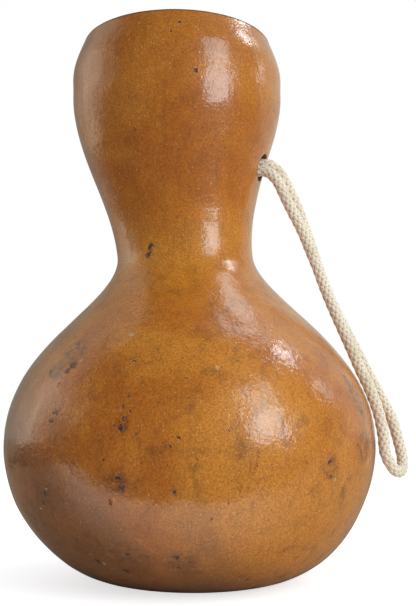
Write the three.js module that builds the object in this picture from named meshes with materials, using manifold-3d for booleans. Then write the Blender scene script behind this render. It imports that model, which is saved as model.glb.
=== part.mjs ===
// A drum made from one dried bottle gourd: a round belly, a narrow waist and a
// bulbous head that is sawn off flat to an open mouth.  A doubled cotton cord
// comes out of one hole in the side of the head's foot, hangs against the belly
// as a wrist loop, and is held inside by a stopper knot with two short tails.
//
// Millimetres, +Z up.  The gourd stands on its flattened base, whose plane is
// z = 0, and the belly's axis is x = y = 0.  The cord is on the +X side.
import * as THREE from 'three';
import { mergeVertices } from 'three/addons/utils/BufferGeometryUtils.js';
import Module from 'manifold-3d';

const wasm = await Module();
wasm.setup();

// ---- driving dimensions of the gourd ----
const HEIGHT = 295;          // base to the sawn rim
const BASE_R = 35;           // flat patch that it stands on
const BELLY_R = 99;
const BELLY_Z = 72;
const WAIST_R = 37.5;
const WAIST_Z = 174;
const HEAD_R = 58.5;
const HEAD_Z = 264.5;
const RIM_R = 52.5;
const WALL = 6;              // dried rind
const HEAD_LEAN = -8;        // the head stands off the belly's axis, along X
const LEAN_FROM_Z = 130;
const LEAN_TO_Z = 236;
const BASE_SHIFT = 2.5;      // the flat patch is a little off the axis too
const BASE_SHIFT_TO_Z = 45;
const SEGMENTS = 48;         // facets around the gourd

// ---- driving dimensions of the cord ----
const CORD_D = 6.3;
const CORD_SIDES = 10;
const GAP = 0.3;             // kept between pieces that touch
const HOLE_R = 7;
const HOLE_TURN = -14;       // degrees from +X, about +Z
const HOLE_Z = 222;
const HOLE_SURFACE_R = 49;   // the neck's outer radius at the hole
const PAIR_LIFT = 2.4;       // the rear strand is this much above the hole's centre, the front one below
const KNOT_R = 10;
const KNOT_HALF_LENGTH = 8.5;
const KNOT_IN = 15.7;        // from the outer surface to the knot's middle
const STRAND_LENGTH = 10.5;  // from the knot's face to where the cord bends over
const LOOP_STEPS = 46;
const TAIL_STEPS = 6;
const STRAND_STEPS = 5;

const skin = new THREE.MeshStandardMaterial({ color: 0xb4702c, roughness: 0.28, metalness: 0 });
const cotton = new THREE.MeshStandardMaterial({ color: 0xd9c9a8, roughness: 0.9, metalness: 0 });

const object = new THREE.Group();

function add(name, geometry, material) {
  const mesh = new THREE.Mesh(geometry, material);
  mesh.name = name;
  object.add(mesh);
  return mesh;
}

// A closed three.js geometry as a solid: shared corners are merged, and the
// slivers that a lathe leaves at its poles are dropped.
function solid(geometry) {
  const bare = geometry.clone();
  bare.deleteAttribute('normal');
  bare.deleteAttribute('uv');
  const merged = mergeVertices(bare, 1e-4);
  const index = merged.index.array;
  const triangles = [];
  for (let i = 0; i < index.length; i += 3) {
    const [a, b, c] = [index[i], index[i + 1], index[i + 2]];
    if (a !== b && b !== c && c !== a) triangles.push(a, b, c);
  }
  const mesh = new wasm.Mesh({
    numProp: 3,
    vertProperties: Float32Array.from(merged.attributes.position.array),
    triVerts: Uint32Array.from(triangles),
  });
  return new wasm.Manifold(mesh);
}

function geometryOf(manifold) {
  const mesh = manifold.getMesh();
  const geometry = new THREE.BufferGeometry();
  geometry.setAttribute('position', new THREE.BufferAttribute(mesh.vertProperties, 3));
  geometry.setIndex(new THREE.BufferAttribute(mesh.triVerts, 1));
  geometry.computeVertexNormals();
  return geometry;
}

// ---- the gourd ----

// The outline from the edge of the flat base up to the rim, as four curves that
// meet at the belly, the waist and the head, where the outline is upright.
function outline() {
  const at = (r, z) => new THREE.Vector2(r, z);
  return [
    [new THREE.CubicBezierCurve(
      at(BASE_R, 0), at(BASE_R + 34, 0), at(BELLY_R, BELLY_Z - 38), at(BELLY_R, BELLY_Z)), 9],
    [new THREE.CubicBezierCurve(
      at(BELLY_R, BELLY_Z), at(BELLY_R, BELLY_Z + 54), at(WAIST_R, WAIST_Z - 27), at(WAIST_R, WAIST_Z)), 12],
    [new THREE.CubicBezierCurve(
      at(WAIST_R, WAIST_Z), at(WAIST_R, WAIST_Z + 32), at(HEAD_R, HEAD_Z - 28), at(HEAD_R, HEAD_Z)), 9],
    [new THREE.CubicBezierCurve(
      at(HEAD_R, HEAD_Z), at(HEAD_R, HEAD_Z + 11), at(RIM_R + 8, HEIGHT - 18), at(RIM_R, HEIGHT)), 5],
  ];
}

// Points of the outline moved inwards by depth, at right angles to it.
function outlineAt(depth) {
  const points = [];
  for (const [curve, steps] of outline()) {
    for (let i = points.length ? 1 : 0; i <= steps; i += 1) {
      const along = curve.getTangent(i / steps);
      const inward = new THREE.Vector2(-along.y, along.x);
      points.push(curve.getPoint(i / steps).addScaledVector(inward, depth));
    }
  }
  return points;
}

// How far the gourd's own centre line is from x = 0 at a height.
function centreX(z) {
  const lean = HEAD_LEAN * THREE.MathUtils.smoothstep(z, LEAN_FROM_Z, LEAN_TO_Z);
  const shift = BASE_SHIFT * (1 - THREE.MathUtils.smoothstep(z, 0, BASE_SHIFT_TO_Z));
  return lean + shift;
}

// A profile turned about the upright axis, then moved over level by level.
function turned(profile) {
  const geometry = new THREE.LatheGeometry(profile, SEGMENTS).rotateX(Math.PI / 2);
  const position = geometry.attributes.position;
  for (let i = 0; i < position.count; i += 1) {
    position.setX(i, position.getX(i) + centreX(position.getZ(i)));
  }
  return solid(geometry);
}

function onAxis(z) {
  return new THREE.Vector2(0, z);
}

function gourdShell() {
  const outer = outlineAt(0);
  const inner = outlineAt(WALL);
  const innerTop = inner[inner.length - 1];
  const mouth = new THREE.Vector2(innerTop.x - 2, HEIGHT + 3);
  const body = turned([onAxis(0), ...outer, onAxis(HEIGHT)]);
  const cavity = turned([onAxis(WALL), ...inner, mouth, onAxis(HEIGHT + 3)]);
  return geometryOf(body.subtract(cavity).subtract(solid(holeDrill())));
}

// ---- the cord hole ----

const outward = new THREE.Vector3(1, 0, 0).applyAxisAngle(
  new THREE.Vector3(0, 0, 1), THREE.MathUtils.degToRad(HOLE_TURN));
const rearward = new THREE.Vector3(-outward.y, outward.x, 0);
const up = new THREE.Vector3(0, 0, 1);

// A point given by its distance out of the neck's surface along the hole, to the
// rear, and above the hole's centre.
function atHole(out, rear = 0, above = 0) {
  return new THREE.Vector3(centreX(HOLE_Z), 0, HOLE_Z)
    .addScaledVector(outward, HOLE_SURFACE_R + out)
    .addScaledVector(rearward, rear)
    .addScaledVector(up, above);
}

function holeDrill() {
  const drill = new THREE.CylinderGeometry(HOLE_R, HOLE_R, 4 * WALL, 32);
  drill.rotateZ(-Math.PI / 2);
  drill.rotateZ(THREE.MathUtils.degToRad(HOLE_TURN));
  const middle = atHole(-WALL / 2);
  return drill.translate(middle.x, middle.y, middle.z);
}

// ---- the cord ----

// The cord's centre line outside the hole: the front strand bends over the hole's
// lip and leans on the belly, the end is an open fold, and the rear strand goes
// back up clear of the belly.
const OUTSIDE = [
  [42.3, -14.9, 218.7], [45.3, -15.7, 216.2], [48.1, -16.4, 212.1], [52.3, -17.0, 202.6],
  [56.2, -17.5, 194.3], [60.5, -18.0, 185.3], [64.6, -18.5, 174.7], [68.7, -19.0, 163.9],
  [72.4, -19.5, 153.0], [76.6, -20.2, 142.1], [81.0, -21.0, 131.4], [85.3, -22.0, 120.8],
  [89.5, -23.0, 110.2], [93.7, -23.7, 100.7], [98.2, -23.7, 88.0], [100.4, -23.0, 77.5],
  [101.8, -21.1, 67.2], [104.6, -19.6, 61.4], [108.1, -15.7, 57.7], [111.6, -10.2, 57.1],
  [114.0, -4.7, 59.6], [114.7, -0.7, 64.8], [113.7, 0.8, 70.9], [112.3, 1.4, 77.0], [109.9, 1.4, 85.0],
  [104.6, 0.6, 95.5], [98.8, -0.8, 106.2], [93.2, -2.4, 116.7], [88.4, -4.0, 126.0],
  [83.2, -5.4, 135.6], [78.6, -6.6, 144.8], [74.3, -7.6, 154.8], [70.2, -8.4, 165.5],
  [66.7, -8.9, 176.6], [62.9, -9.2, 187.8], [59.1, -9.4, 198.7], [55.0, -9.4, 208.7],
  [51.3, -9.6, 216.4], [47.7, -9.9, 221.1], [43.9, -10.2, 223.8],
];

const besideOffset = (CORD_D + GAP) / 2;
const pairOffset = Math.sqrt(besideOffset ** 2 - PAIR_LIFT ** 2);

// The stretch of a curve between two distances along it, as a curve of its own.
class Stretch extends THREE.Curve {
  constructor(whole, from, to) {
    super();
    this.whole = whole;
    this.from = from / whole.getLength();
    this.to = to / whole.getLength();
  }

  getPoint(t, target = new THREE.Vector3()) {
    return this.whole.getPointAt(THREE.MathUtils.lerp(this.from, this.to, t), target);
  }
}

function curveThrough(points) {
  const curve = new THREE.CatmullRomCurve3(points, false, 'centripetal');
  curve.arcLengthDivisions = 2000;
  return curve;
}

// The strand from the knot to the neck's outer surface: side is -1 for the front
// strand, 1 for the rear one.
function throughWall(side) {
  const across = side * pairOffset;
  const lift = side * PAIR_LIFT;
  const outs = [KNOT_HALF_LENGTH - KNOT_IN + GAP, -WALL / 2, 0];
  return outs.map((out) => atHole(out, across, lift));
}

const route = curveThrough([
  ...throughWall(-1),
  ...OUTSIDE.map((p) => new THREE.Vector3(...p)),
  ...throughWall(1).reverse(),
]);

function cordTube(curve, steps) {
  const section = new THREE.Shape();
  for (let i = 0; i < CORD_SIDES; i += 1) {
    const turn = (2 * Math.PI * i) / CORD_SIDES;
    const corner = new THREE.Vector2(Math.cos(turn), Math.sin(turn)).multiplyScalar(CORD_D / 2);
    if (i) section.lineTo(corner.x, corner.y);
    else section.moveTo(corner.x, corner.y);
  }
  section.closePath();
  return new THREE.ExtrudeGeometry(section, { steps, extrudePath: curve });
}

// The cord is parted where it bends over the hole's lip, because the loop swings
// there: what lies outside is the loop, and the two strands inside turn in the hole.
function cordLoop() {
  const from = STRAND_LENGTH + GAP;
  return cordTube(new Stretch(route, from, route.getLength() - from), LOOP_STEPS);
}

function frontStrand() {
  return cordTube(new Stretch(route, 0, STRAND_LENGTH), STRAND_STEPS);
}

function rearStrand() {
  const length = route.getLength();
  return cordTube(new Stretch(route, length - STRAND_LENGTH, length), STRAND_STEPS);
}

function stopperKnot() {
  const knot = new THREE.SphereGeometry(KNOT_R, 20, 14);
  knot.scale(KNOT_HALF_LENGTH / KNOT_R, 1, 1);
  knot.rotateZ(THREE.MathUtils.degToRad(HOLE_TURN));
  const middle = atHole(-KNOT_IN);
  return knot.translate(middle.x, middle.y, middle.z);
}

// A short tail beyond the knot, drooping into the neck.
function tail(side) {
  const start = -KNOT_IN - KNOT_HALF_LENGTH - GAP;
  const across = side * besideOffset;
  return cordTube(curveThrough([
    atHole(start, across, 0),
    atHole(start - 4, across * 1.05, -0.8),
    atHole(start - 9, across * 1.25, -4.5),
    atHole(start - 12, across * 1.4, -10.5),
    atHole(start - 13, across * 1.5, -17),
  ]), TAIL_STEPS);
}

add('gourd_shell', gourdShell(), skin);
add('cord_loop', cordLoop(), cotton);
add('cord_strand_front', frontStrand(), cotton);
add('cord_strand_rear', rearStrand(), cotton);
add('cord_knot', stopperKnot(), cotton);
add('cord_tail_front', tail(-1), cotton);
add('cord_tail_rear', tail(1), cotton);

export default object;
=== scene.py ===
# %% [markdown]
# # A gourd drum with a wrist cord
#
# One dried bottle gourd, sawn open at the top, and one doubled cotton cord.  The
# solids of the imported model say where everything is; this lesson gives them the
# skin, the rind, the braid and the light that the real things have.

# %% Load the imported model
import math

import bpy
import numpy as np
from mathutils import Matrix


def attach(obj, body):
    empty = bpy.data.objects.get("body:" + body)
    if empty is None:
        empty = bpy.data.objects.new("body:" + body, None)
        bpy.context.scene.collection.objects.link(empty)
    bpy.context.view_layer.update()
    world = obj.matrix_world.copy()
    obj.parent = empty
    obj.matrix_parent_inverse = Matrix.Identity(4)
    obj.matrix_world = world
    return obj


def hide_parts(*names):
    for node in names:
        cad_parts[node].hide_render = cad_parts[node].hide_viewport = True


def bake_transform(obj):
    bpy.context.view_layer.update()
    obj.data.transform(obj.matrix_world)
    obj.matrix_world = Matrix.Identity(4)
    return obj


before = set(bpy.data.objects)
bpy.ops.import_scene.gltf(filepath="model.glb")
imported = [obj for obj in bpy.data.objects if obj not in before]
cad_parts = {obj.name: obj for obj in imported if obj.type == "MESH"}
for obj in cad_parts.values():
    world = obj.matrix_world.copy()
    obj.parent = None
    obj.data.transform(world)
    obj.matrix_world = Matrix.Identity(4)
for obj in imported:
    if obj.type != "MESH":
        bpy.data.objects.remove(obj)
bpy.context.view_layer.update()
MM = 0.001

# %% [markdown]
# ## The camera
#
# A gourd is judged by its outline, so the lens and the distance matter: from half
# a metre the belly looks larger than it would from far away, and the sawn rim,
# which is above the eye, shows as an arch.  The camera stands 86 mm above the
# table and looks up by about seven degrees.

# %% Camera
EYE = (9.6 * MM, -500 * MM, 85.7 * MM)
LOOK_UP = math.radians(7.14)
camera_data = bpy.data.cameras.new("camera")
camera_data.lens = 54.05
camera_data.sensor_width = 36.0
camera_data.clip_start = 0.01
camera = bpy.data.objects.new("camera", camera_data)
bpy.context.scene.collection.objects.link(camera)
camera.location = EYE
camera.rotation_euler = (math.radians(90) + LOOK_UP, 0, 0)
bpy.context.scene.camera = camera

# %% [markdown]
# ## The gourd's outline
#
# A bottle gourd is nearly a turned shape, so its outline is four smooth curves
# that meet at the belly, the waist and the head.  These are the solid's own
# dimensions.  An outline could be drawn as a spline by hand, but curves with
# named handles keep it fair, and the inner wall is the same outline moved inwards.

# %% Outline
HEIGHT = 295 * MM
BASE_R = 35 * MM
BELLY_R, BELLY_Z = 99 * MM, 72 * MM
WAIST_R, WAIST_Z = 37.5 * MM, 174 * MM
HEAD_R, HEAD_Z = 58.5 * MM, 264.5 * MM
RIM_R = 52.5 * MM
WALL = 6 * MM
HANDLES = {
    "base": 34 * MM, "belly_under": 38 * MM, "belly_over": 54 * MM, "waist_under": 27 * MM,
    "waist_over": 32 * MM, "head_under": 28 * MM, "head_over": 11 * MM,
}
RIM_HANDLE = np.array([8 * MM, -18 * MM])


def smooth_step(value, low, high):
    """0 below low, 1 above high, and a smooth S between them."""
    t = np.clip((value - low) / (high - low), 0, 1)
    return t * t * (3 - 2 * t)


def cubic(start, near_start, near_end, end, count=400):
    """Points of a cubic curve: its ends, pulled by two handles."""
    t = np.linspace(0, 1, count)[:, None]
    points = [np.array(p) for p in (start, near_start, near_end, end)]
    weights = [(1 - t) ** 3, 3 * t * (1 - t) ** 2, 3 * t * t * (1 - t), t ** 3]
    return sum(w * p for w, p in zip(weights, points))


def outline():
    """(radius, height) from the edge of the flat base to the rim, close together."""
    rim = np.array([RIM_R, HEIGHT])
    curves = [
        cubic((BASE_R, 0), (BASE_R + HANDLES["base"], 0),
              (BELLY_R, BELLY_Z - HANDLES["belly_under"]), (BELLY_R, BELLY_Z)),
        cubic((BELLY_R, BELLY_Z), (BELLY_R, BELLY_Z + HANDLES["belly_over"]),
              (WAIST_R, WAIST_Z - HANDLES["waist_under"]), (WAIST_R, WAIST_Z)),
        cubic((WAIST_R, WAIST_Z), (WAIST_R, WAIST_Z + HANDLES["waist_over"]),
              (HEAD_R, HEAD_Z - HANDLES["head_under"]), (HEAD_R, HEAD_Z)),
        cubic((HEAD_R, HEAD_Z), (HEAD_R, HEAD_Z + HANDLES["head_over"]), rim + RIM_HANDLE, rim),
    ]
    return np.concatenate([curves[0]] + [curve[1:] for curve in curves[1:]])


def moved_inwards(line, depth):
    """The outline shifted at right angles to itself, towards the hollow."""
    along = np.gradient(line, axis=0)
    along /= np.linalg.norm(along, axis=1)[:, None]
    return line + depth * np.stack([-along[:, 1], along[:, 0]], axis=1)


def centre_x(z):
    """The gourd's own middle at a height: the head leans 8 mm to the left, and the
    flat patch under it is 2.5 mm to the right."""
    lean = -8 * MM * smooth_step(z, 130 * MM, 236 * MM)
    return lean + 2.5 * MM * (1 - smooth_step(z, 0, 45 * MM))


outer_line = outline()
print("outline:", len(outer_line), "points")

# %% [markdown]
# ## The cord's route
#
# The loop is one soft cotton cord, laid double.  Both strands come out of one
# hole, the front one lower: it bends over the hole's lip, leans on the belly and
# turns in an open fold, and the rear one goes back up clear of the belly.  The
# points are the solid's own, in millimetres, and the curve through them is the
# same kind, a centripetal Catmull-Rom curve, so the braid lies where the solid is.

# %% Cord route
CORD_D = 6.3 * MM
PAIR_LIFT = 2.4 * MM
BESIDE_OFFSET = 3.3 * MM
PAIR_OFFSET = math.sqrt(BESIDE_OFFSET ** 2 - PAIR_LIFT ** 2)
HOLE_R = 7 * MM
HOLE_TURN = math.radians(-14)
HOLE_Z = 222 * MM
HOLE_SURFACE_R = 49 * MM
STRAND_START = -6.9 * MM
OUTWARD = np.array([math.cos(HOLE_TURN), math.sin(HOLE_TURN), 0])
REARWARD = np.array([-OUTWARD[1], OUTWARD[0], 0])
HOLE = np.array([centre_x(HOLE_Z), 0, HOLE_Z]) + HOLE_SURFACE_R * OUTWARD

OUTSIDE_MM = [
    [42.3, -14.9, 218.7], [45.3, -15.7, 216.2], [48.1, -16.4, 212.1], [52.3, -17.0, 202.6],
    [56.2, -17.5, 194.3], [60.5, -18.0, 185.3], [64.6, -18.5, 174.7], [68.7, -19.0, 163.9],
    [72.4, -19.5, 153.0], [76.6, -20.2, 142.1], [81.0, -21.0, 131.4], [85.3, -22.0, 120.8],
    [89.5, -23.0, 110.2], [93.7, -23.7, 100.7], [98.2, -23.7, 88.0], [100.4, -23.0, 77.5],
    [101.8, -21.1, 67.2], [104.6, -19.6, 61.4], [108.1, -15.7, 57.7], [111.6, -10.2, 57.1],
    [114.0, -4.7, 59.6], [114.7, -0.7, 64.8], [113.7, 0.8, 70.9], [112.3, 1.4, 77.0],
    [109.9, 1.4, 85.0], [104.6, 0.6, 95.5], [98.8, -0.8, 106.2], [93.2, -2.4, 116.7],
    [88.4, -4.0, 126.0], [83.2, -5.4, 135.6], [78.6, -6.6, 144.8], [74.3, -7.6, 154.8],
    [70.2, -8.4, 165.5], [66.7, -8.9, 176.6], [62.9, -9.2, 187.8], [59.1, -9.4, 198.7],
    [55.0, -9.4, 208.7], [51.3, -9.6, 216.4], [47.7, -9.9, 221.1], [43.9, -10.2, 223.8],
]


def at_hole(out, rear=0.0, above=0.0):
    """A point by its distance out of the neck, to the rear, and above the hole."""
    return HOLE + out * OUTWARD + rear * REARWARD + np.array([0, 0, above])


def through_wall(side):
    """The strand from the knot to the neck's surface: -1 is the front one."""
    outs = (STRAND_START, -WALL / 2, 0)
    return [at_hole(out, side * PAIR_OFFSET, side * PAIR_LIFT) for out in outs]


def curve_through(points, spacing):
    """A centripetal Catmull-Rom curve at even steps: each stretch is a cubic whose
    speeds at its ends come from the square roots of the nearby distances."""
    p = np.array(points, float)
    p = np.concatenate([[2 * p[0] - p[1]], p, [2 * p[-1] - p[-2]]])
    d = np.linalg.norm(np.diff(p, axis=0), axis=1)[:, None] ** 0.5
    before, here, after = d[:-2], d[1:-1], d[2:]
    p0, p1, p2, p3 = p[:-3], p[1:-2], p[2:-1], p[3:]
    speed1 = ((p1 - p0) / before - (p2 - p0) / (before + here) + (p2 - p1) / here) * here
    speed2 = ((p2 - p1) / here - (p3 - p1) / (here + after) + (p3 - p2) / after) * here
    t = np.linspace(0, 1, 60, endpoint=False)[None, :, None]
    p1, p2, speed1, speed2 = [a[:, None, :] for a in (p1, p2, speed1, speed2)]
    dense = ((2 * t ** 3 - 3 * t ** 2 + 1) * p1 + (t ** 3 - 2 * t ** 2 + t) * speed1
             + (-2 * t ** 3 + 3 * t ** 2) * p2 + (t ** 3 - t ** 2) * speed2)
    dense = np.concatenate([dense.reshape(-1, 3), p[-2:-1]])
    run = np.concatenate([[0], np.cumsum(np.linalg.norm(np.diff(dense, axis=0), axis=1))])
    steps = np.linspace(0, run[-1], int(run[-1] / spacing) + 1)
    return np.stack([np.interp(steps, run, dense[:, k]) for k in range(3)], axis=1), run[-1]


outside = [np.array(point) * MM for point in OUTSIDE_MM]
cord_route = through_wall(-1) + outside + through_wall(1)[::-1]
cord_path, cord_length = curve_through(cord_route, 0.3 * MM)
print("cord from knot to knot: %.1f mm, %d rings" % (cord_length / MM, len(cord_path)))

# %% [markdown]
# ## The braid
#
# The cord is a diamond braid: six yarns wind to the right, six to the left,
# and each goes over one and under the next.  A bump map would leave the outline
# smooth, so the crowns are real: the tube's radius is worked out ring by ring as
# the higher of the two yarns that cross there.  The material gets, for each
# point, how far it is along the cord and across the yarn on top, to draw its plies,
# and how high it stands on that yarn, to darken the crevices.

# %% Braided tube
YARNS = 6
BRAID_PITCH = 29 * MM
YARN_CROWN = 0.50 * MM
YARN_WEAVE = 0.28 * MM
BACK_ROUNDNESS = 0.98
CORD_SIDES = 64


def frames_along(path):
    """Two directions square to the path at each ring, carried along it without
    twisting: each ring's first direction is the last one's, made square again."""
    tangent = np.gradient(path, axis=0)
    tangent /= np.linalg.norm(tangent, axis=1)[:, None]
    side = np.cross(tangent[0], [0.0, 0.0, 1.0])
    sides = np.empty_like(path)
    for ring, direction in enumerate(tangent):
        side = side - direction * side.dot(direction)
        side = side / np.linalg.norm(side)
        sides[ring] = side
    return sides, np.cross(tangent, sides)


def braid(turn, along, radius):
    """The radius at an angle and a distance along the cord, with what the yarn on
    top there is like.  The yarns' places are the angle plus and minus the helix's
    turn, counted in yarns; a yarn's back is a half ellipse; and it rises at every
    second crossing and dips at the others."""
    helix = 2 * np.pi * along / BRAID_PITCH
    right = (turn - helix) * YARNS / (2 * np.pi)
    left = (turn + helix) * YARNS / (2 * np.pi)
    right_across = 2 * (right - np.floor(right)) - 1
    left_across = 2 * (left - np.floor(left)) - 1
    right_sign = 1 - 2 * (np.floor(right) % 2)
    left_sign = 1 - 2 * (np.floor(left) % 2)
    right_top = right_sign * np.sin(np.pi * left)
    left_top = -left_sign * np.sin(np.pi * right)
    base = radius - YARN_CROWN - YARN_WEAVE
    right_back = YARN_CROWN * np.sqrt(1 - BACK_ROUNDNESS * right_across ** 2)
    left_back = YARN_CROWN * np.sqrt(1 - BACK_ROUNDNESS * left_across ** 2)
    right_r = base + YARN_WEAVE * right_top + right_back
    left_r = base + YARN_WEAVE * left_top + left_back
    over = right_r > left_r
    height = np.where(over, right_r, left_r)
    across = np.where(over, right_across, left_across)
    depth = (height - base) / (YARN_CROWN + YARN_WEAVE)
    return height, across, np.clip(depth, 0, 1)


def mesh_from(name, vertices, faces, material=None):
    """A mesh object at the origin, smooth, from arrays of points and faces."""
    mesh = bpy.data.meshes.new(name)
    mesh.from_pydata(vertices, [], faces)
    mesh.update()
    mesh.shade_smooth()
    piece = bpy.data.objects.new(name, mesh)
    bpy.context.scene.collection.objects.link(piece)
    if material:
        mesh.materials.append(material)
    return piece


def grid_faces(rows, columns, first=0):
    """Quads between neighbouring rings of a tube, closed around; the rings follow
    one another, so faces look outwards when each ring turns to the right."""
    row, column = np.meshgrid(np.arange(rows - 1), np.arange(columns), indexing="ij")
    here = first + row * columns + column
    beside = first + row * columns + (column + 1) % columns
    return np.stack([here, beside, beside + columns, here + columns], axis=-1).reshape(-1, 4)


def braided_cord(name, path, radius=CORD_D / 2, sides=CORD_SIDES):
    """A braided tube along a path.  Each ring is a circle of the braid's radius,
    and the last few rings at each end shrink to a point, so that it is closed."""
    spacing = np.linalg.norm(path[1] - path[0])
    side, other = frames_along(path)
    rings = len(path)
    along = np.arange(rings) * spacing
    turn = 2 * np.pi * np.arange(sides) / sides
    height, across, depth = braid(turn[None, :], along[:, None], radius)
    end = np.minimum(along, along[::-1]) / (0.8 * radius)
    height = height * np.sqrt(1 - (1 - np.clip(end, 0.02, 1)) ** 2)[:, None]
    ring = (np.cos(turn)[None, :, None] * side[:, None, :]
            + np.sin(turn)[None, :, None] * other[:, None, :])
    points = path[:, None, :] + height[:, :, None] * ring
    vertices = np.concatenate([points.reshape(-1, 3), path[:1], path[-1:]])
    first, last = rings * sides, rings * sides + 1
    faces = grid_faces(rings, sides).tolist()
    columns = np.arange(sides)
    beside = (columns + 1) % sides
    faces += np.stack([np.full(sides, first), beside, columns], axis=1).tolist()
    tail = (rings - 1) * sides
    faces += np.stack([np.full(sides, last), tail + columns, tail + beside], axis=1).tolist()
    piece = mesh_from(name, vertices, faces)
    yarn = np.zeros((len(vertices), 3), np.float32)
    yarn[:-2, 0] = np.repeat(along, sides) / MM
    yarn[:-2, 1] = across.ravel()
    layer = piece.data.attributes.new("yarn", "FLOAT_VECTOR", "POINT")
    layer.data.foreach_set("vector", yarn.ravel())
    crown = np.full(len(vertices), 0.5, np.float32)
    crown[:-2] = depth.ravel()
    layer = piece.data.attributes.new("crown", "FLOAT", "POINT")
    layer.data.foreach_set("value", crown)
    print(name, len(piece.data.polygons), "faces")
    return piece


wrist_cord = braided_cord("wrist_cord", cord_path)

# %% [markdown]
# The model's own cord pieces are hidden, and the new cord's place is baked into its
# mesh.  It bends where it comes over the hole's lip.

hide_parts("cord_loop", "cord_strand_front", "cord_strand_rear")
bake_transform(wrist_cord)

# %% [markdown]
# ## The gourd
#
# The real gourd is one dried fruit: a skin outside, six millimetres of rind and a
# rough pale inside.  The whole wall is one profile - up the outside, over the sawn
# rim and down the inside - carried round on a grid.  Where the cord hole is, a
# block of the grid is left out on both sides and the grid near it is pulled to a
# circle, so that the hole is a clean ring joined through the wall.  A boolean cut
# would do it too, but its long thin faces catch the gloss.

# %% Wall profile
RIM_ROUND = 0.8 * MM
INNER_TRIM = 0.9 * MM
ROWS = {"base": 4 * MM, "outside": 2.2 * MM, "rim": 0.45 * MM, "inside": 3 * MM}


def arc(centre, radius, start, end, count=7):
    """Points of a circle's arc in the profile's plane, by angles in degrees."""
    angle = np.radians(np.linspace(start, end, count))
    return np.array(centre) + radius * np.stack([np.cos(angle), np.sin(angle)], axis=1)


def stretch_rows(line, step):
    """A stretch of profile at even steps, its ends kept."""
    run = np.concatenate([[0], np.cumsum(np.linalg.norm(np.diff(line, axis=0), axis=1))])
    stops = np.linspace(0, run[-1], max(2, int(round(run[-1] / step)) + 1))
    return np.stack([np.interp(stops, run, line[:, k]) for k in range(2)], axis=1)


def split_at(line, height):
    """A rising line cut in two at a height."""
    r = np.interp(height, line[:, 1], line[:, 0])
    cut = np.array([[r, height]])
    below, above = line[line[:, 1] < height], line[line[:, 1] > height]
    return np.concatenate([below, cut]), np.concatenate([cut, above])


inner_line = moved_inwards(outer_line, WALL)
rim_top = HEIGHT - RIM_ROUND
outside_low, outside_high = split_at(outer_line, HOLE_Z)
outside_high = outside_high[outside_high[:, 1] < rim_top]
outer_edge = arc((outside_high[-1, 0] - RIM_ROUND, rim_top), RIM_ROUND, 20, 90)
inner_edge_r = inner_line[-1, 0] - INNER_TRIM
inner_edge = arc((inner_edge_r + RIM_ROUND, rim_top), RIM_ROUND, 90, 180)
inside_low, inside_high = split_at(inner_line, HOLE_Z)

stretches = [
    stretch_rows(np.array([[0, 0], [BASE_R, 0]]), ROWS["base"])[1:],
    stretch_rows(outside_low, ROWS["outside"])[1:],
    stretch_rows(outside_high, ROWS["outside"])[1:],
    stretch_rows(np.concatenate([outer_edge, inner_edge]), ROWS["rim"]),
    stretch_rows(inside_high[::-1], ROWS["inside"]),
    stretch_rows(inside_low[::-1], ROWS["inside"])[1:],
    stretch_rows(np.array([[BASE_R, WALL], [0, WALL]]), 2 * ROWS["base"])[1:-1],
]
profile = np.concatenate(stretches)
ends = np.cumsum([len(part) for part in stretches])
OUTER_HOLE_ROW, RIM_ROW, INSIDE_ROW, INNER_HOLE_ROW = ends[1] - 1, ends[2], ends[3], ends[4] - 1
print("wall profile:", len(profile), "rows")

# %% [markdown]
# A grown thing isn't quite turned.  Slow waves of a quarter of a millimetre bend
# its reflections, the inside is rougher, and the saw left the rim a little uneven.
# The waves are sums of sines that run in many directions, so they have no seam.

# %% Wall grid
COLUMNS = 256
BLOCK_COLUMNS, BLOCK_ROWS = 6, 4
PULL_REACH = 3.4
HOLE_LIP = 0.4 * MM


def waves(points, length, count, seed):
    """A smooth uneven field of about -1 to 1: the sum of sine waves in many
    directions, with lengths near the one asked for."""
    rng = np.random.default_rng(seed)
    direction = rng.normal(size=(count, 3))
    direction /= np.linalg.norm(direction, axis=1)[:, None]
    number = 2 * np.pi / (length * rng.uniform(0.7, 1.6, count))
    angle = points @ (direction * number[:, None]).T + rng.uniform(0, 2 * np.pi, count)
    return np.sin(angle).sum(axis=-1) / math.sqrt(count) / 1.4


def pulled(row_of_hole, towards_up):
    """Offsets round the wall and up it, for every grid point, that pull the square
    block of the grid round the hole to a circle.  Near the block a point moves to
    the circle of its own ring, and a few rings out it stays where it is."""
    rows = np.arange(len(profile)) - row_of_hole
    columns = (np.arange(COLUMNS) + COLUMNS // 2) % COLUMNS - COLUMNS // 2
    a = columns[None, :] / BLOCK_COLUMNS
    b = rows[:, None] / BLOCK_ROWS * towards_up
    reach = np.maximum(np.abs(a), np.abs(b))
    ring = reach / np.maximum(np.hypot(a, b), 1e-9) * (HOLE_R + HOLE_LIP)
    share = 1 - smooth_step(reach, 1.0, PULL_REACH)
    share = share * (np.abs(rows) < PULL_REACH * BLOCK_ROWS)[:, None]
    hole_r = profile[row_of_hole, 0]
    flat_s = a * BLOCK_COLUMNS * 2 * np.pi / COLUMNS * hole_r
    flat_z = (profile[:, 1] - HOLE_Z)[:, None]
    return share * (a * ring - flat_s) / hole_r, share * (b * ring - flat_z)


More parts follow.
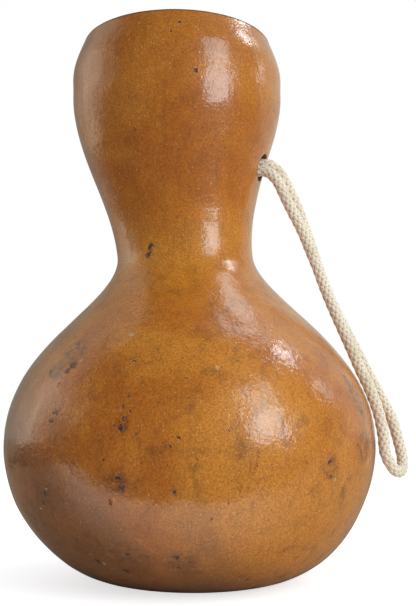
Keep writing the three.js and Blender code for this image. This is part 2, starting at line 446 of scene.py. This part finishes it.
turn = HOLE_TURN + 2 * np.pi * np.arange(COLUMNS) / COLUMNS
outer_turn, outer_lift = pulled(OUTER_HOLE_ROW, 1)
inner_turn, inner_lift = pulled(INNER_HOLE_ROW, -1)
is_outside = (np.arange(len(profile)) < RIM_ROW)[:, None]
turns = turn[None, :] + np.where(is_outside, outer_turn, inner_turn)
heights = profile[:, 1][:, None] + np.where(is_outside, outer_lift, inner_lift)
moved = np.abs(heights - profile[:, 1][:, None]) > 0
outer_radii = np.interp(heights, outer_line[:, 1], outer_line[:, 0])
inner_radii = np.interp(heights, inner_line[:, 1], inner_line[:, 0])
radii = np.where(moved, np.where(is_outside, outer_radii, inner_radii), profile[:, 0][:, None])
wall = np.stack([centre_x(heights) + radii * np.cos(turns), radii * np.sin(turns), heights],
                axis=-1)

# %% Uneven surfaces
slope = np.gradient(profile, axis=0)
slope /= np.linalg.norm(slope, axis=1)[:, None]
normal = np.stack([slope[:, 1][:, None] * np.cos(turns), slope[:, 1][:, None] * np.sin(turns),
                   np.repeat(-slope[:, 0][:, None], COLUMNS, axis=1)], axis=-1)
skin = 0.22 * MM * waves(wall, 45 * MM, 20, 3) + 0.05 * MM * waves(wall, 13 * MM, 24, 5)
rough = 0.30 * MM * waves(wall, 16 * MM, 24, 7) + 0.16 * MM * waves(wall, 6 * MM, 30, 9)
saw = 0.07 * MM * waves(wall, 7 * MM, 20, 11)
row = np.arange(len(profile))
on_rim = (row >= RIM_ROW) & (row < INSIDE_ROW)
bump = np.where(is_outside, skin, np.where(on_rim[:, None], saw, rough))
standing = smooth_step(profile[:, 1], 0.2 * MM, 4 * MM)[:, None]
near_rim = np.minimum(np.abs(row - RIM_ROW), np.abs(row - INSIDE_ROW + 1)) / 3
bump = bump * np.where(is_outside, standing, 1) * np.clip(near_rim, 0.15, 1)[:, None]
wall = wall + bump[..., None] * normal
print("wall grid:", wall.shape[0], "by", wall.shape[1])

# %% Gourd mesh
def block_edge(row_of_hole, towards_up):
    """The grid points round the left-out block, in order, as (row, column)."""
    right, up = BLOCK_COLUMNS, BLOCK_ROWS
    across, high = np.arange(-right, right), np.arange(-up, up)
    columns = np.concatenate([across, np.full(2 * up, right), -across, np.full(2 * up, -right)])
    rows = np.concatenate([np.full(2 * right, -up), high, np.full(2 * right, up), -high])
    return row_of_hole + rows * towards_up, columns % COLUMNS


def hole_wall(outer_ring, inner_ring, count=5):
    """Rings through the wall between the two edges of the hole: each is on the
    drill's cylinder, which is HOLE_LIP narrower than the rounded edges."""
    out = (outer_ring - HOLE) @ OUTWARD
    inside = (inner_ring - HOLE) @ OUTWARD
    spoke = outer_ring - HOLE - out[:, None] * OUTWARD
    spoke /= np.linalg.norm(spoke, axis=1)[:, None]
    share = np.linspace(0, 1, count)[:, None]
    depth = (out - HOLE_LIP)[None, :] * (1 - share) + (inside + HOLE_LIP)[None, :] * share
    return HOLE + depth[..., None] * OUTWARD + HOLE_R * spoke[None, :, :]


rows_of, columns_of = block_edge(OUTER_HOLE_ROW, 1)
outer_ring = rows_of * COLUMNS + columns_of
inner_rows, inner_columns = block_edge(INNER_HOLE_ROW, -1)
inner_ring = inner_rows * COLUMNS + inner_columns
points = wall.reshape(-1, 3)
drill = hole_wall(points[outer_ring], points[inner_ring])
poles = np.array([[centre_x(0), 0, 0], [centre_x(WALL), 0, WALL]])
faces = grid_faces(len(profile), COLUMNS)
face_row, face_column = np.divmod(np.arange(len(faces)), COLUMNS)
face_column = (face_column + COLUMNS // 2) % COLUMNS - COLUMNS // 2
in_columns = (face_column >= -BLOCK_COLUMNS) & (face_column < BLOCK_COLUMNS)
in_rows = np.zeros(len(faces), bool)
for hole_row in (OUTER_HOLE_ROW, INNER_HOLE_ROW):
    in_rows |= (face_row >= hole_row - BLOCK_ROWS) & (face_row < hole_row + BLOCK_ROWS)
kept = ~(in_columns & in_rows)
sides_of_hole = len(outer_ring)
first_drill = len(points)
rings = [outer_ring] + [first_drill + k * sides_of_hole + np.arange(sides_of_hole)
                        for k in range(len(drill))] + [inner_ring]
drill_faces = np.concatenate([np.stack([a, np.roll(a, -1), np.roll(b, -1), b], axis=1)
                              for a, b in zip(rings[:-1], rings[1:])])
pole = first_drill + len(drill) * sides_of_hole
around = np.arange(COLUMNS)
last_row = (len(profile) - 1) * COLUMNS
beside = np.roll(around, -1)
fans = np.concatenate([
    np.stack([np.full(COLUMNS, pole), beside, around], axis=1),
    np.stack([np.full(COLUMNS, pole + 1), last_row + around, last_row + beside], axis=1)])
vertices = np.concatenate([points, drill.reshape(-1, 3), poles])
gourd = mesh_from("gourd", vertices,
                  faces[kept].tolist() + drill_faces.tolist() + fans.tolist())

# %% Which faces are skin and which are rind
SKIN_SLOT, RIND_SLOT = 0, 1
material_of = np.full(len(gourd.data.polygons), SKIN_SLOT, np.int32)
material_of[:kept.sum()] = np.where(face_row[kept] >= RIM_ROW - 1, RIND_SLOT, SKIN_SLOT)
material_of[kept.sum():kept.sum() + len(drill_faces)] = RIND_SLOT
material_of[-COLUMNS:] = RIND_SLOT
gourd.data.polygons.foreach_set("material_index", material_of)
# The hole's wall keeps a share of 0 here, so the rind material draws it in the dark skin colour:
# painted shade in the hole.
rind = np.zeros(len(vertices), np.float32)
rim_share = np.clip((np.arange(len(profile)) - RIM_ROW) / (INSIDE_ROW - 1 - RIM_ROW), 0, 1)
rind[:len(points)] = np.repeat(rim_share, COLUMNS)
rind[-1] = 1
layer = gourd.data.attributes.new("rind", "FLOAT", "POINT")
layer.data.foreach_set("value", rind)
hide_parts("gourd_shell")
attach(gourd, "gourd")
print("gourd:", len(vertices), "points,", len(gourd.data.polygons), "faces")

# %% [markdown]
# ## Floor, room and lights
#
# The gourd has a clear coat, so half of its look is what it reflects.  A white
# room on all sides would lay a milky veil over the colour.  So the world is pale
# for the camera, soft for plain light, and for reflections it is a dark studio
# with a pale wall on the left and behind: that draws the pale edges.

# %% Colours shown as they are
bpy.context.scene.view_settings.view_transform = "Standard"


# %% Short names for nodes
class Nodes:
    """Adds shader nodes to a tree.  Each method returns a result's socket, and an
    input may be given as a socket or as a plain value."""

    def __init__(self, tree):
        self.tree = tree

    def add(self, kind, inputs=None, **settings):
        node = self.tree.nodes.new("ShaderNode" + kind)
        for name, value in settings.items():
            setattr(node, name, value)
        for key, value in (inputs or {}).items():
            self.put(node.inputs[key], value)
        return node

    def put(self, socket, value):
        if isinstance(value, bpy.types.NodeSocket):
            self.tree.links.new(value, socket)
        else:
            socket.default_value = value

    def math(self, kind, a, b=0.0):
        """Arithmetic on numbers."""
        return self.add("Math", {0: a, 1: b}, operation=kind).outputs[0]

    def scaled_sum(self, a, b, c):
        """a times b, plus c."""
        return self.add("Math", {0: a, 1: b, 2: c}, operation="MULTIPLY_ADD").outputs[0]

    def scale(self, vector, factor):
        """A vector or a colour, times a number."""
        node = self.add("VectorMath", {0: vector, "Scale": factor}, operation="SCALE")
        return node.outputs["Vector"]

    def vector(self, kind, a, b=(0, 0, 0)):
        """Arithmetic on vectors; a distance comes out as a number."""
        node = self.add("VectorMath", {0: a, 1: b}, operation=kind)
        return node.outputs["Value" if kind == "DISTANCE" else "Vector"]

    def ramp(self, value, low, high, to_low=0.0, to_high=1.0):
        """to_low below low, to_high above high, and a smooth S between."""
        inputs = {"Value": value, "From Min": low, "From Max": high,
                  "To Min": to_low, "To Max": to_high}
        return self.add("MapRange", inputs, interpolation_type="SMOOTHSTEP").outputs["Result"]

    def mix(self, share, a, b):
        """Colour b laid over colour a."""
        return self.add("Mix", {0: share, 6: a, 7: b}, data_type="RGBA").outputs[2]

    def choose(self, share, a, b):
        """The number a, or b where the share is 1."""
        return self.add("Mix", {0: share, 2: a, 3: b}).outputs[0]

    def noise(self, place, scale, detail=3.0, roughness=0.5, distortion=0.0):
        """An uneven field of about 0 to 1; scale is in lumps per metre."""
        inputs = {"Vector": place, "Scale": scale, "Detail": detail,
                  "Roughness": roughness, "Distortion": distortion}
        return self.add("TexNoise", inputs).outputs["Fac"]

    def parts(self, vector):
        """The three numbers of a vector."""
        return self.add("SeparateXYZ", {0: vector}).outputs


def linear(red, green, blue):
    """A colour's light values from its usual 0 to 255 numbers, with an alpha of 1."""
    values = [c / 255 for c in (red, green, blue)]
    return [v / 12.92 if v <= 0.04045 else ((v + 0.055) / 1.055) ** 2.4 for v in values] + [1.0]


# %% [markdown]
# Reflections read the world by direction: the azimuth is 0 in front and 90 at the
# right.  The left wall's front edge leans both ways from an elevation of 20
# degrees, and a brighter patch of it, a window's, ends at about 33 degrees up.

# %% World
SOFT_LIGHT = 0.50
DARK_STUDIO = 0.03
LEFT_WALL = 0.60
LEFT_PATCH = 0.85
LEFT_FAR = 0.4
BACK_WALL = 0.58
WHITE = (1, 1, 1, 1)
world = bpy.data.worlds.new("studio")
world.use_nodes = True
bpy.context.scene.world = world
w = Nodes(world.node_tree)


def between(angle, low, high, to_low, to_high):
    """A ramp whose ends are given in degrees."""
    return w.ramp(angle, math.radians(low), math.radians(high), to_low, to_high)


direction = w.parts(w.add("TexCoord").outputs["Generated"])
azimuth = w.math("ARCTAN2", direction[0], w.math("MULTIPLY", direction[1], -1.0))
above = w.math("ARCSINE", direction[2])
off_middle = w.math("ABSOLUTE", w.math("SUBTRACT", above, math.radians(20)))
leaning = w.math("ADD", azimuth, off_middle)
left = w.math("MULTIPLY", between(leaning, -72, -63, LEFT_WALL, 0),
              between(azimuth, -145, -122, LEFT_FAR, 1))
patch = w.math("MULTIPLY", between(leaning, -90, -80, 1, 0),
               between(azimuth, -122, -112, 0, LEFT_PATCH))
patch = w.math("MULTIPLY", patch, between(above, 28, 38, 1, 0))
right = between(azimuth, 93, 110, 0, BACK_WALL)
mirrored = w.math("ADD", w.math("MAXIMUM", left, right), patch)
mirrored = w.math("ADD", mirrored, DARK_STUDIO)
rays = w.add("LightPath").outputs
plain = w.choose(rays["Is Glossy Ray"], SOFT_LIGHT, mirrored)
tint = w.mix(rays["Is Glossy Ray"], linear(243, 248, 255), linear(255, 251, 234))
backdrop = world.node_tree.nodes["Background"].inputs
w.put(backdrop["Strength"], w.choose(rays["Is Camera Ray"], plain, 1.0))
w.put(backdrop["Color"], w.mix(rays["Is Camera Ray"], tint, WHITE))


# %% Floor
FAR = 4.0
PALE = linear(244, 243, 241)
# The floor's colour as reflections see it, darker than it is: painted shade.
WARM = linear(188, 164, 138)
FLOOR_GLOW = 0.68


def flat_plate(name, x0, x1, y0, y1, z, colour, roughness):
    """A rectangle that lies level at height z, with a plain finish."""
    corners = np.array([[x0, y0, z], [x1, y0, z], [x1, y1, z], [x0, y1, z]], float)
    material = bpy.data.materials.new(name)
    material.use_nodes = True
    finish = material.node_tree.nodes["Principled BSDF"].inputs
    finish["Base Color"].default_value = colour
    finish["Roughness"].default_value = roughness
    finish["Specular IOR Level"].default_value = 0.1
    plate = mesh_from(name, corners, [(0, 1, 2, 3)], material)
    return plate


floor = flat_plate("floor", -FAR, FAR, -FAR, FAR, 0, PALE, 0.9)
n = Nodes(floor.active_material.node_tree)
rays = n.add("LightPath").outputs
spot = n.parts(n.add("TexCoord").outputs["Object"])
# A painted pool of light on the floor in front of the gourd, seen only in reflections.
painted_light_spot = n.math("MULTIPLY", n.ramp(spot[1], -0.13, -0.06, 1, 0),
                  n.ramp(spot[0], 0.02, 0.17, 1.0, 0.1))
seen = n.math("MULTIPLY", rays["Is Camera Ray"], FLOOR_GLOW)
finish = n.tree.nodes["Principled BSDF"].inputs
# Reflections see the floor in the darker, warm colour: painted shade.
n.put(finish["Base Color"], n.mix(rays["Is Glossy Ray"], PALE, WARM))
finish["Emission Color"].default_value = WHITE
n.put(finish["Emission Strength"], n.scaled_sum(rays["Is Glossy Ray"], painted_light_spot, seen))

# %% [markdown]
# The floor is white to the camera.  To reflections it is a darker, warm copy of
# itself, which is painted shade, and in front of the gourd it glows for them,
# which is a painted pool of light.  Past a hand's width in front of the gourd and
# an arm's length to its left, black sheets that only reflections see are painted
# dark reflections of the floor: the coat shows a pale table low on the belly, with
# a clear line above it, and the camera still sees a pale floor.

# %% Black sheets past the table's edges: painted dark reflections
TABLE_FRONT = -0.145
TABLE_LEFT = -0.40
BLACK = (0.01, 0.01, 0.01, 1)
for name, x0, x1, y1 in (("painted_dark_reflection", TABLE_LEFT, FAR, TABLE_FRONT),
                         ("dark_cloth_left", -FAR, TABLE_LEFT, 0.5)):
    # A black sheet that only reflections see: a painted dark reflection of the floor.
    reflection_sheet = flat_plate(name, x0, x1, -FAR, y1, 1 * MM, BLACK, 1.0)
    reflection_sheet.visible_camera = False
    reflection_sheet.visible_diffuse = False
    reflection_sheet.visible_transmission = False
    reflection_sheet.visible_shadow = False


# %% Softboxes
DAYLIGHT = (0.87, 0.96, 1.0)
GOURD_MIDDLE = np.array([0, 0, 0.14])
LIGHT_DISTANCE = 1.25


def softbox(name, azimuth, elevation, width, height, radiance):
    """A rectangular light that faces the gourd's middle.  Azimuth 0 is in front of
    it and 90 at its right.  Its power is its brightness times its area times pi."""
    a, e = math.radians(azimuth), math.radians(elevation)
    way = np.array([math.sin(a) * math.cos(e), -math.cos(a) * math.cos(e), math.sin(e)])
    data = bpy.data.lights.new(name, "AREA")
    data.shape = "RECTANGLE"
    data.size = width
    data.size_y = height
    data.energy = radiance * width * height * math.pi
    data.color = DAYLIGHT
    light = bpy.data.objects.new(name, data)
    bpy.context.scene.collection.objects.link(light)
    light.location = way * LIGHT_DISTANCE + GOURD_MIDDLE
    light.rotation_euler = (math.radians(90) - e, 0, a)


softbox("window_low", 46, 12, 0.56, 0.50, 6.2)
softbox("window_high", 45, 34, 0.40, 0.42, 4.0)
softbox("high_lamp", 100, 49, 0.26, 0.20, 9.5)
softbox("small_lamp", 101, 26, 0.17, 0.20, 3.4)
softbox("top_light", 122, 66, 0.36, 0.34, 2.6)
print("stage and", len(bpy.data.lights), "lights")

# %% [markdown]
# ## The skin
#
# The skin is the fruit's own, stained by its drying, under a clear lacquer.  Four
# scales show: hand-wide clouds from honey to brown, finger-wide mottles, streaks
# that run up from stalk to flower, and a grain of light and dark pores a
# millimetre apart.  Over them, painted shade darkens the lower left side and the
# bottom.  The lacquer is thin and a little crinkled, which breaks the edges of
# every reflection.  Each scale is one noise, so each can be tuned alone.

# %% Skin colours
HONEY = linear(208, 130, 38)
AMBER = linear(184, 102, 20)
HEAD_TINT = linear(158, 86, 22)
BROWN = linear(120, 68, 24)
# Painted shade, laid on the lower left side of the gourd.
SHADE_BROWN = linear(132, 77, 36)
TAN = linear(226, 176, 104)
SCAR = linear(50, 31, 25)
CHIP = linear(205, 184, 140)
RUST = linear(96, 42, 30)


def skin_point(azimuth, height):
    """The point of the skin at an azimuth, 0 in front and 90 at the right, and a
    height in millimetres."""
    z = height * MM
    r = np.interp(z, outer_line[:, 1], outer_line[:, 0])
    a = math.radians(azimuth)
    return (float(centre_x(z) + r * math.sin(a)), float(-r * math.cos(a)), z)


# %% [markdown]
# A gourd that lay in a field has scars: dry pits, nicks with a grey lip and a few
# bruises.  They aren't spread evenly, so they are listed one by one, by azimuth,
# height and size.  A pit or a chip is a ragged blob, and a bruise is a patch of
# brown stain and rusty specks.

# %% Scars listed one by one
PITS = [
    (-27.5, 174, 2.9), (-29.5, 169.5, 3.0), (3, 286, 1.6), (-1, 281, 1.0), (11, 260, 1.8),
    (-23, 232, 0.9), (-38, 110, 3.3), (-39.5, 107, 2.2), (-47, 125, 1.4), (-42, 121, 1.3),
    (-48, 107, 1.4), (-41, 101, 1.3), (-39, 88, 2.2), (-40, 84, 1.7), (-16, 111, 1.5),
    (-16, 95, 1.1), (-17, 91, 1.4), (-15, 88, 1.3), (-16.5, 85, 1.6), (-17, 81, 2.2),
    (-13, 78, 1.0), (0, 103, 0.9), (-2, 77, 1.1), (-4, 73, 1.3), (-22, 67, 1.2),
    (-18, 59, 1.9), (-17, 55, 2.3), (-21, 48, 1.6), (-3, 53, 2.0), (-44, 50, 2.2),
    (-46, 46, 1.7), (-60, 40, 1.9), (-55, 37, 1.8), (-50, 35, 1.7), (-24, 15, 2.2),
    (-20, 24, 1.8), (-4, 23, 1.7), (-4, 18, 1.4), (-34, 19, 2.2), (7, 41, 1.2),
    (11, 48, 0.9), (11, 80, 1.2), (23, 10, 1.8), (42, 65, 1.6), (43, 58, 1.3),
    (60, 106, 1.6), (59, 98, 1.6), (62, 88, 1.8), (58, 69, 1.6), (130, 60, 2.4),
    (150, 95, 1.8), (-150, 45, 2.6), (-120, 80, 2.0), (-100, 62, 1.8), (170, 250, 1.6),
]
CHIPS = [
    (11, 284, 1.0), (-20, 124, 1.9), (9, 108, 1.6), (-27, 174, 1.4), (-36, 112, 1.5),
    (-43, 52, 1.6), (-32, 18, 1.8), (-48, 43, 1.5), (45, 57, 1.2), (-140, 90, 1.8),
]
BRUISES = [
    (-41, 117, 8), (-45, 108, 6), (-17, 82, 4), (-19, 57, 6), (-45, 48, 10),
    (-56, 37, 12), (-20, 21, 12), (-34, 26, 11), (-3, 20, 8), (-48, 30, 9),
    (61, 96, 10), (60, 72, 9), (43, 62, 6), (140, 70, 16), (-130, 60, 18),
]


def nearness(n, place, spots, spread):
    """1 in the middle of the nearest spot and 0 at its edge: the least, over the
    spots, of the distance to one divided by its size times the spread."""
    least = 9.0
    for azimuth, height, size in spots:
        away = n.vector("DISTANCE", place, skin_point(azimuth, height))
        least = n.math("MINIMUM", least, n.math("DIVIDE", away, size * spread * MM))
    return n.ramp(least, 0.45, 1.0, 1, 0)


# %% Skin material
WOBBLE = 4.5 * MM
skin = bpy.data.materials.new("gourd_skin")
skin.use_nodes = True
n = Nodes(skin.node_tree)
place = n.add("TexCoord").outputs["Object"]
wobble = n.add("TexNoise", {"Vector": place, "Scale": 620.0, "Detail": 3.0}).outputs["Color"]
wobble = n.scale(n.vector("SUBTRACT", wobble, (0.5, 0.5, 0.5)), WOBBLE)
ragged = n.vector("ADD", place, wobble)
high = n.parts(place)[2]

clouds = n.noise(place, 13, 3, 0.5, 0.6)
mottle = n.noise(place, 75, 4, 0.62, 0.4)
streaks = n.noise(n.vector("MULTIPLY", place, (1, 1, 0.16)), 260, 3, 0.6)
fine = n.noise(place, 1050, 2, 0.75)

# %% Clouds, mottles and streaks
colour = n.mix(n.ramp(clouds, 0.40, 0.62), AMBER, HONEY)
colour = n.mix(n.ramp(mottle, 0.50, 0.66, 0, 0.45), colour, HONEY)
on_belly = n.ramp(high, 110 * MM, 190 * MM, 0.40, 0.14)
dark_mottle = n.math("MULTIPLY", n.ramp(mottle, 0.30, 0.47, 1, 0), on_belly)
colour = n.mix(dark_mottle, colour, BROWN)
colour = n.mix(n.ramp(high, 150 * MM, 250 * MM, 0, 0.38), colour, HEAD_TINT)
colour = n.mix(n.ramp(streaks, 0.52, 0.72, 0, 0.25), colour, BROWN)
# Painted shade: darker low on the left side, broken up by the clouds.
painted_shade_side = n.scaled_sum(n.parts(place)[0], -4.5, n.scaled_sum(high, -4.5, clouds))
colour = n.mix(n.ramp(painted_shade_side, 0.28, 0.60, 0, 0.85), colour, SHADE_BROWN)
stain = n.noise(n.vector("MULTIPLY", place, (1.4, 1.4, 0.7)), 38, 4, 0.6, 1.2)
low_down = n.ramp(high, 20 * MM, 110 * MM, 0.80, 0.24)
# Painted shade: darker towards the bottom.
colour = n.mix(n.ramp(high, 30 * MM, 90 * MM, 0.14, 0), colour, BROWN)
colour = n.mix(n.math("MULTIPLY", n.ramp(stain, 0.54, 0.72), low_down), colour, BROWN)

# %% Grain and pores
colour = n.scale(colour, n.ramp(fine, 0.34, 0.66, 0.78, 1.22))
pores = n.add("TexVoronoi", {"Vector": place, "Scale": 620.0}).outputs
lone = n.parts(pores["Color"])
light_pore = n.math("MULTIPLY", n.ramp(pores["Distance"], 0.16, 0.34, 1, 0),
                    n.ramp(lone[0], 0.86, 0.92, 0, 0.45))
colour = n.mix(light_pore, colour, TAN)
dark_pore = n.math("MULTIPLY", n.ramp(pores["Distance"], 0.14, 0.32, 1, 0),
                   n.ramp(lone[1], 0.93, 0.96, 0, 0.6))
colour = n.mix(dark_pore, colour, SCAR)

# %% Scars and the sawn edge
bruise = nearness(n, ragged, BRUISES, 1.3)
blotches = n.ramp(n.noise(ragged, 300, 3, 0.7), 0.40, 0.60, 0.05, 0.8)
bruised = n.math("MULTIPLY", bruise, blotches)
colour = n.mix(bruised, colour, BROWN)
speck = n.ramp(n.noise(place, 700, 2, 0.6), 0.62, 0.70)
colour = n.mix(n.math("MULTIPLY", bruise, speck), colour, RUST)
pit = nearness(n, ragged, PITS, 0.85)
chip = nearness(n, ragged, CHIPS, 0.8)
colour = n.mix(n.math("MULTIPLY", chip, 0.6), colour, CHIP)
colour = n.mix(n.math("MULTIPLY", pit, 0.86), colour, SCAR)
edge = n.ramp(high, HEIGHT - 1.6 * MM, HEIGHT - 0.4 * MM, 0, 0.5)
colour = n.mix(edge, colour, BROWN)
finish = skin.node_tree.nodes["Principled BSDF"].inputs
n.put(finish["Base Color"], colour)

# %% [markdown]
# The lacquer is a coat over the skin.  It has its own bump: slow dents, and
# crinkles about a millimetre and a half across.  The skin under it is rougher and
# only glows softly.  In a pit the lacquer has sunk, so the pits dent the bumps of
# both the coat and the skin.

# %% Lacquer
dented = n.scaled_sum(pit, -1.0, n.math("MULTIPLY", fine, 0.12))
skin_bump = n.add("Bump", {"Height": dented, "Distance": 0.5 * MM, "Strength": 0.7})
crinkle = n.noise(place, 560, 2, 0.55, 0.5)
dents = n.noise(place, 70, 2, 0.5)
crinkled = n.math("SUBTRACT", n.math("MULTIPLY", crinkle, 0.56), pit)
coat_height = n.scaled_sum(dents, 2.6, crinkled)
coat_bump = n.add("Bump", {"Height": coat_height, "Distance": 0.30 * MM, "Strength": 1.0})
n.put(finish["Normal"], skin_bump.outputs["Normal"])
n.put(finish["Coat Normal"], coat_bump.outputs["Normal"])
n.put(finish["Roughness"], n.ramp(mottle, 0.3, 0.7, 0.46, 0.34))
finish["Specular IOR Level"].default_value = 0.35
finish["Coat Weight"].default_value = 1.0
finish["Coat Roughness"].default_value = 0.095
finish["Coat IOR"].default_value = 1.5

# %% [markdown]
# ## The rind and the inside
#
# The saw shows the wall in section: a thin dark skin, a woody tan shell and a
# paler pith.  Inside, the scraped wall is dry and fibrous.  The share of the way
# through the wall is stored on the mesh, so the layers follow the cut all round.

# %% Rind material
inside = bpy.data.materials.new("gourd_inside")
inside.use_nodes = True
n = Nodes(inside.node_tree)
place = n.add("TexCoord").outputs["Object"]
through = n.add("Attribute", attribute_name="rind").outputs["Fac"]
fibre = n.noise(n.vector("MULTIPLY", place, (1, 1, 0.25)), 420, 4, 0.65, 0.6)
patch = n.noise(place, 45, 4, 0.6, 0.5)
colour = n.mix(n.ramp(through, 0.25, 0.75), linear(192, 146, 90), linear(222, 190, 142))
colour = n.mix(n.ramp(patch, 0.46, 0.7, 0, 0.6), colour, linear(178, 134, 84))
colour = n.mix(n.ramp(fibre, 0.5, 0.72, 0, 0.5), colour, linear(146, 106, 64))
layered = n.math("ADD", through, n.math("MULTIPLY", n.math("SUBTRACT", fibre, 0.5), 0.14))
# Dark where the share is near 0: at the sawn rim that is the thin skin, and over the hole's wall
# it is painted shade.
colour = n.mix(n.ramp(layered, 0.03, 0.12, 0.9, 0), colour, linear(92, 58, 30))
finish = inside.node_tree.nodes["Principled BSDF"].inputs
n.put(finish["Base Color"], colour)
finish["Roughness"].default_value = 0.9
finish["Specular IOR Level"].default_value = 0.2
bumpy = n.math("ADD", fibre, n.math("MULTIPLY", n.noise(place, 150, 3), 1.5))
n.put(finish["Normal"], n.add("Bump", {"Height": bumpy, "Distance": 0.6 * MM}).outputs["Normal"])

gourd.data.materials.append(skin)
gourd.data.materials.append(inside)
print("skin:", len(skin.node_tree.nodes), "nodes")

# %% [markdown]
# ## The cotton
#
# Undyed cotton: cream on the crowns of the yarns and brown in the crevices, which
# is painted shade.  Each yarn has a few plies that twist the other way from its
# run, so their lines slant across it, with painted shade in the grooves between
# them, and loose fibres give a soft sheen.

# %% Cotton material
PLY = 1.5 * MM
cotton = bpy.data.materials.new("cotton_cord")
cotton.use_nodes = True
n = Nodes(cotton.node_tree)
place = n.add("TexCoord").outputs["Object"]
yarn = n.parts(n.add("Attribute", attribute_name="yarn").outputs["Vector"])
crown = n.add("Attribute", attribute_name="crown").outputs["Fac"]
slanted = n.scaled_sum(yarn[1], 0.45, n.math("DIVIDE", yarn[0], PLY / MM))
ply = n.math("SINE", n.math("MULTIPLY", slanted, 2 * math.pi))
fuzz = n.noise(place, 2600, 2, 0.7)
dirt = n.noise(place, 60, 3, 0.6)
# Brown in the crevices, by how deep the point lies: painted shade.
colour = n.mix(n.ramp(crown, 0.22, 0.74), linear(190, 149, 108), linear(255, 239, 214))
# Darker in the grooves between the plies: painted shade.
colour = n.mix(n.ramp(ply, -1.0, 0.0, 0.30, 0), colour, linear(168, 141, 106))
colour = n.mix(n.ramp(dirt, 0.5, 0.75, 0, 0.35), colour, linear(196, 172, 132))
colour = n.mix(n.ramp(fuzz, 0.5, 0.7, 0, 0.3), colour, linear(238, 229, 208))
finish = cotton.node_tree.nodes["Principled BSDF"].inputs
n.put(finish["Base Color"], colour)
finish["Roughness"].default_value = 0.92
finish["Specular IOR Level"].default_value = 0.15
finish["Sheen Weight"].default_value = 0.35
finish["Sheen Roughness"].default_value = 0.5
lumps = n.math("ADD", n.math("MULTIPLY", ply, 0.35), fuzz)
n.put(finish["Normal"], n.add("Bump", {"Height": lumps, "Distance": 0.15 * MM}).outputs["Normal"])
wrist_cord.data.materials.append(cotton)

# %% [markdown]
# ## The stopper knot
#
# Nothing would hold the cord in its hole but a knot inside the neck.  It is an
# overhand knot, whose cord runs on a trefoil: twice round while it goes three
# times out and in, and up and down in between, so that it passes over itself.

# %% Stopper knot
KNOT_CENTRE = -15.7 * MM
KNOT_CORD_R = 2.9 * MM
TREFOIL = 2.15 * MM
KNOT_RISE = 4.6 * MM
HIDDEN_SIDES = 48
HIDDEN_SPACING = 0.35 * MM


def knot_path():
    """Twice round the hole's line: across = a(cos t + 2 cos 2t), above =
    a(sin t - 2 sin 2t), and out of the neck by b sin 3t."""
    t = np.linspace(0.2, 2 * np.pi - 0.2, 1200)
    across = TREFOIL * (np.cos(t) + 2 * np.cos(2 * t))
    above = TREFOIL * (np.sin(t) - 2 * np.sin(2 * t))
    out = KNOT_CENTRE - KNOT_RISE * np.sin(3 * t)
    return (HOLE + out[:, None] * OUTWARD + across[:, None] * REARWARD
            + above[:, None] * np.array([0, 0, 1.0]))


knot_rings, knot_length = curve_through(knot_path()[::20], HIDDEN_SPACING)
knot = braided_cord("stopper_knot", knot_rings, KNOT_CORD_R, HIDDEN_SIDES)
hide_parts("cord_knot")
print("stopper_knot %.1f mm" % (knot_length / MM))

# %% [markdown]
# Past the knot the two tails part and droop.  Each step is a distance out of the
# neck, a share of the strands' usual spacing, and a height, in millimetres.

# %% Tails
TAIL_STEPS = [
    (-24.6, 1.0, 0.0), (-28.5, 1.05, -0.8), (-33.5, 1.25, -4.5),
    (-36.5, 1.4, -10.5), (-37.5, 1.5, -17.0),
]
tails = []
for name, side in (("tail_front", -1), ("tail_rear", 1)):
    route = [at_hole(out * MM, side * wide * BESIDE_OFFSET, above * MM)
             for out, wide, above in TAIL_STEPS]
    rings, length = curve_through(route, HIDDEN_SPACING)
    tail = braided_cord(name, rings, sides=HIDDEN_SIDES)
    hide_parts("cord_" + name)
    tails.append(tail)
    print(name, "%.1f mm" % (length / MM))
for piece in [knot] + tails:
    piece.data.materials.append(cotton)
    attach(piece, "cord_in_hole")
